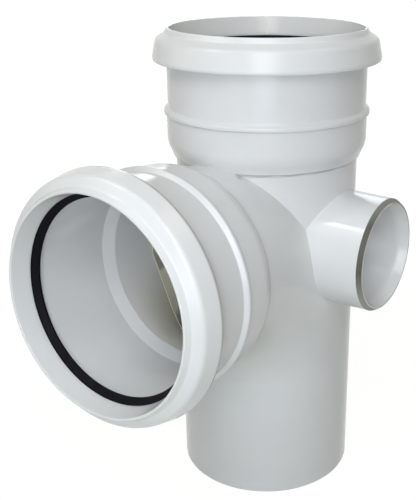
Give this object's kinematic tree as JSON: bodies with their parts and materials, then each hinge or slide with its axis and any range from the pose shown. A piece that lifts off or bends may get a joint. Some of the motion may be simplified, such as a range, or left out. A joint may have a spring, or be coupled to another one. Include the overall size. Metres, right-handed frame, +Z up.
{
  "type": "soil pipe branch",
  "caption": "Swept soil pipe branch with ring-seal sockets on the stack top and the branch, a plain spigot end below and a plain waste pipe boss at the side.",
  "frame": {"origin": "under the middle of the bounding box, in the plane of the spigot end; the stack axis stands 8.1 mm towards -X and 45.35 mm towards +Y from it", "axes": "+Z up along the stack from the spigot end to the socket, -Y out along the branch, which rises 2.5 degrees, +X out along the waste boss"},
  "size_m": [0.151, 0.2256, 0.2841],
  "materials": {
    "body_upvc": "smooth glossy white plastic",
    "socket_upvc": "smooth glossy white plastic",
    "cap_upvc": "smooth glossy white plastic",
    "seal_rubber": "smooth black rubber"
  },
  "bodies": {
    "root": {"branch_body": "body_upvc", "top_socket": "socket_upvc", "branch_socket": "socket_upvc", "top_cap": "cap_upvc", "branch_cap": "cap_upvc", "top_seal": "seal_rubber", "branch_seal": "seal_rubber"}
  },
  "joints": []
}
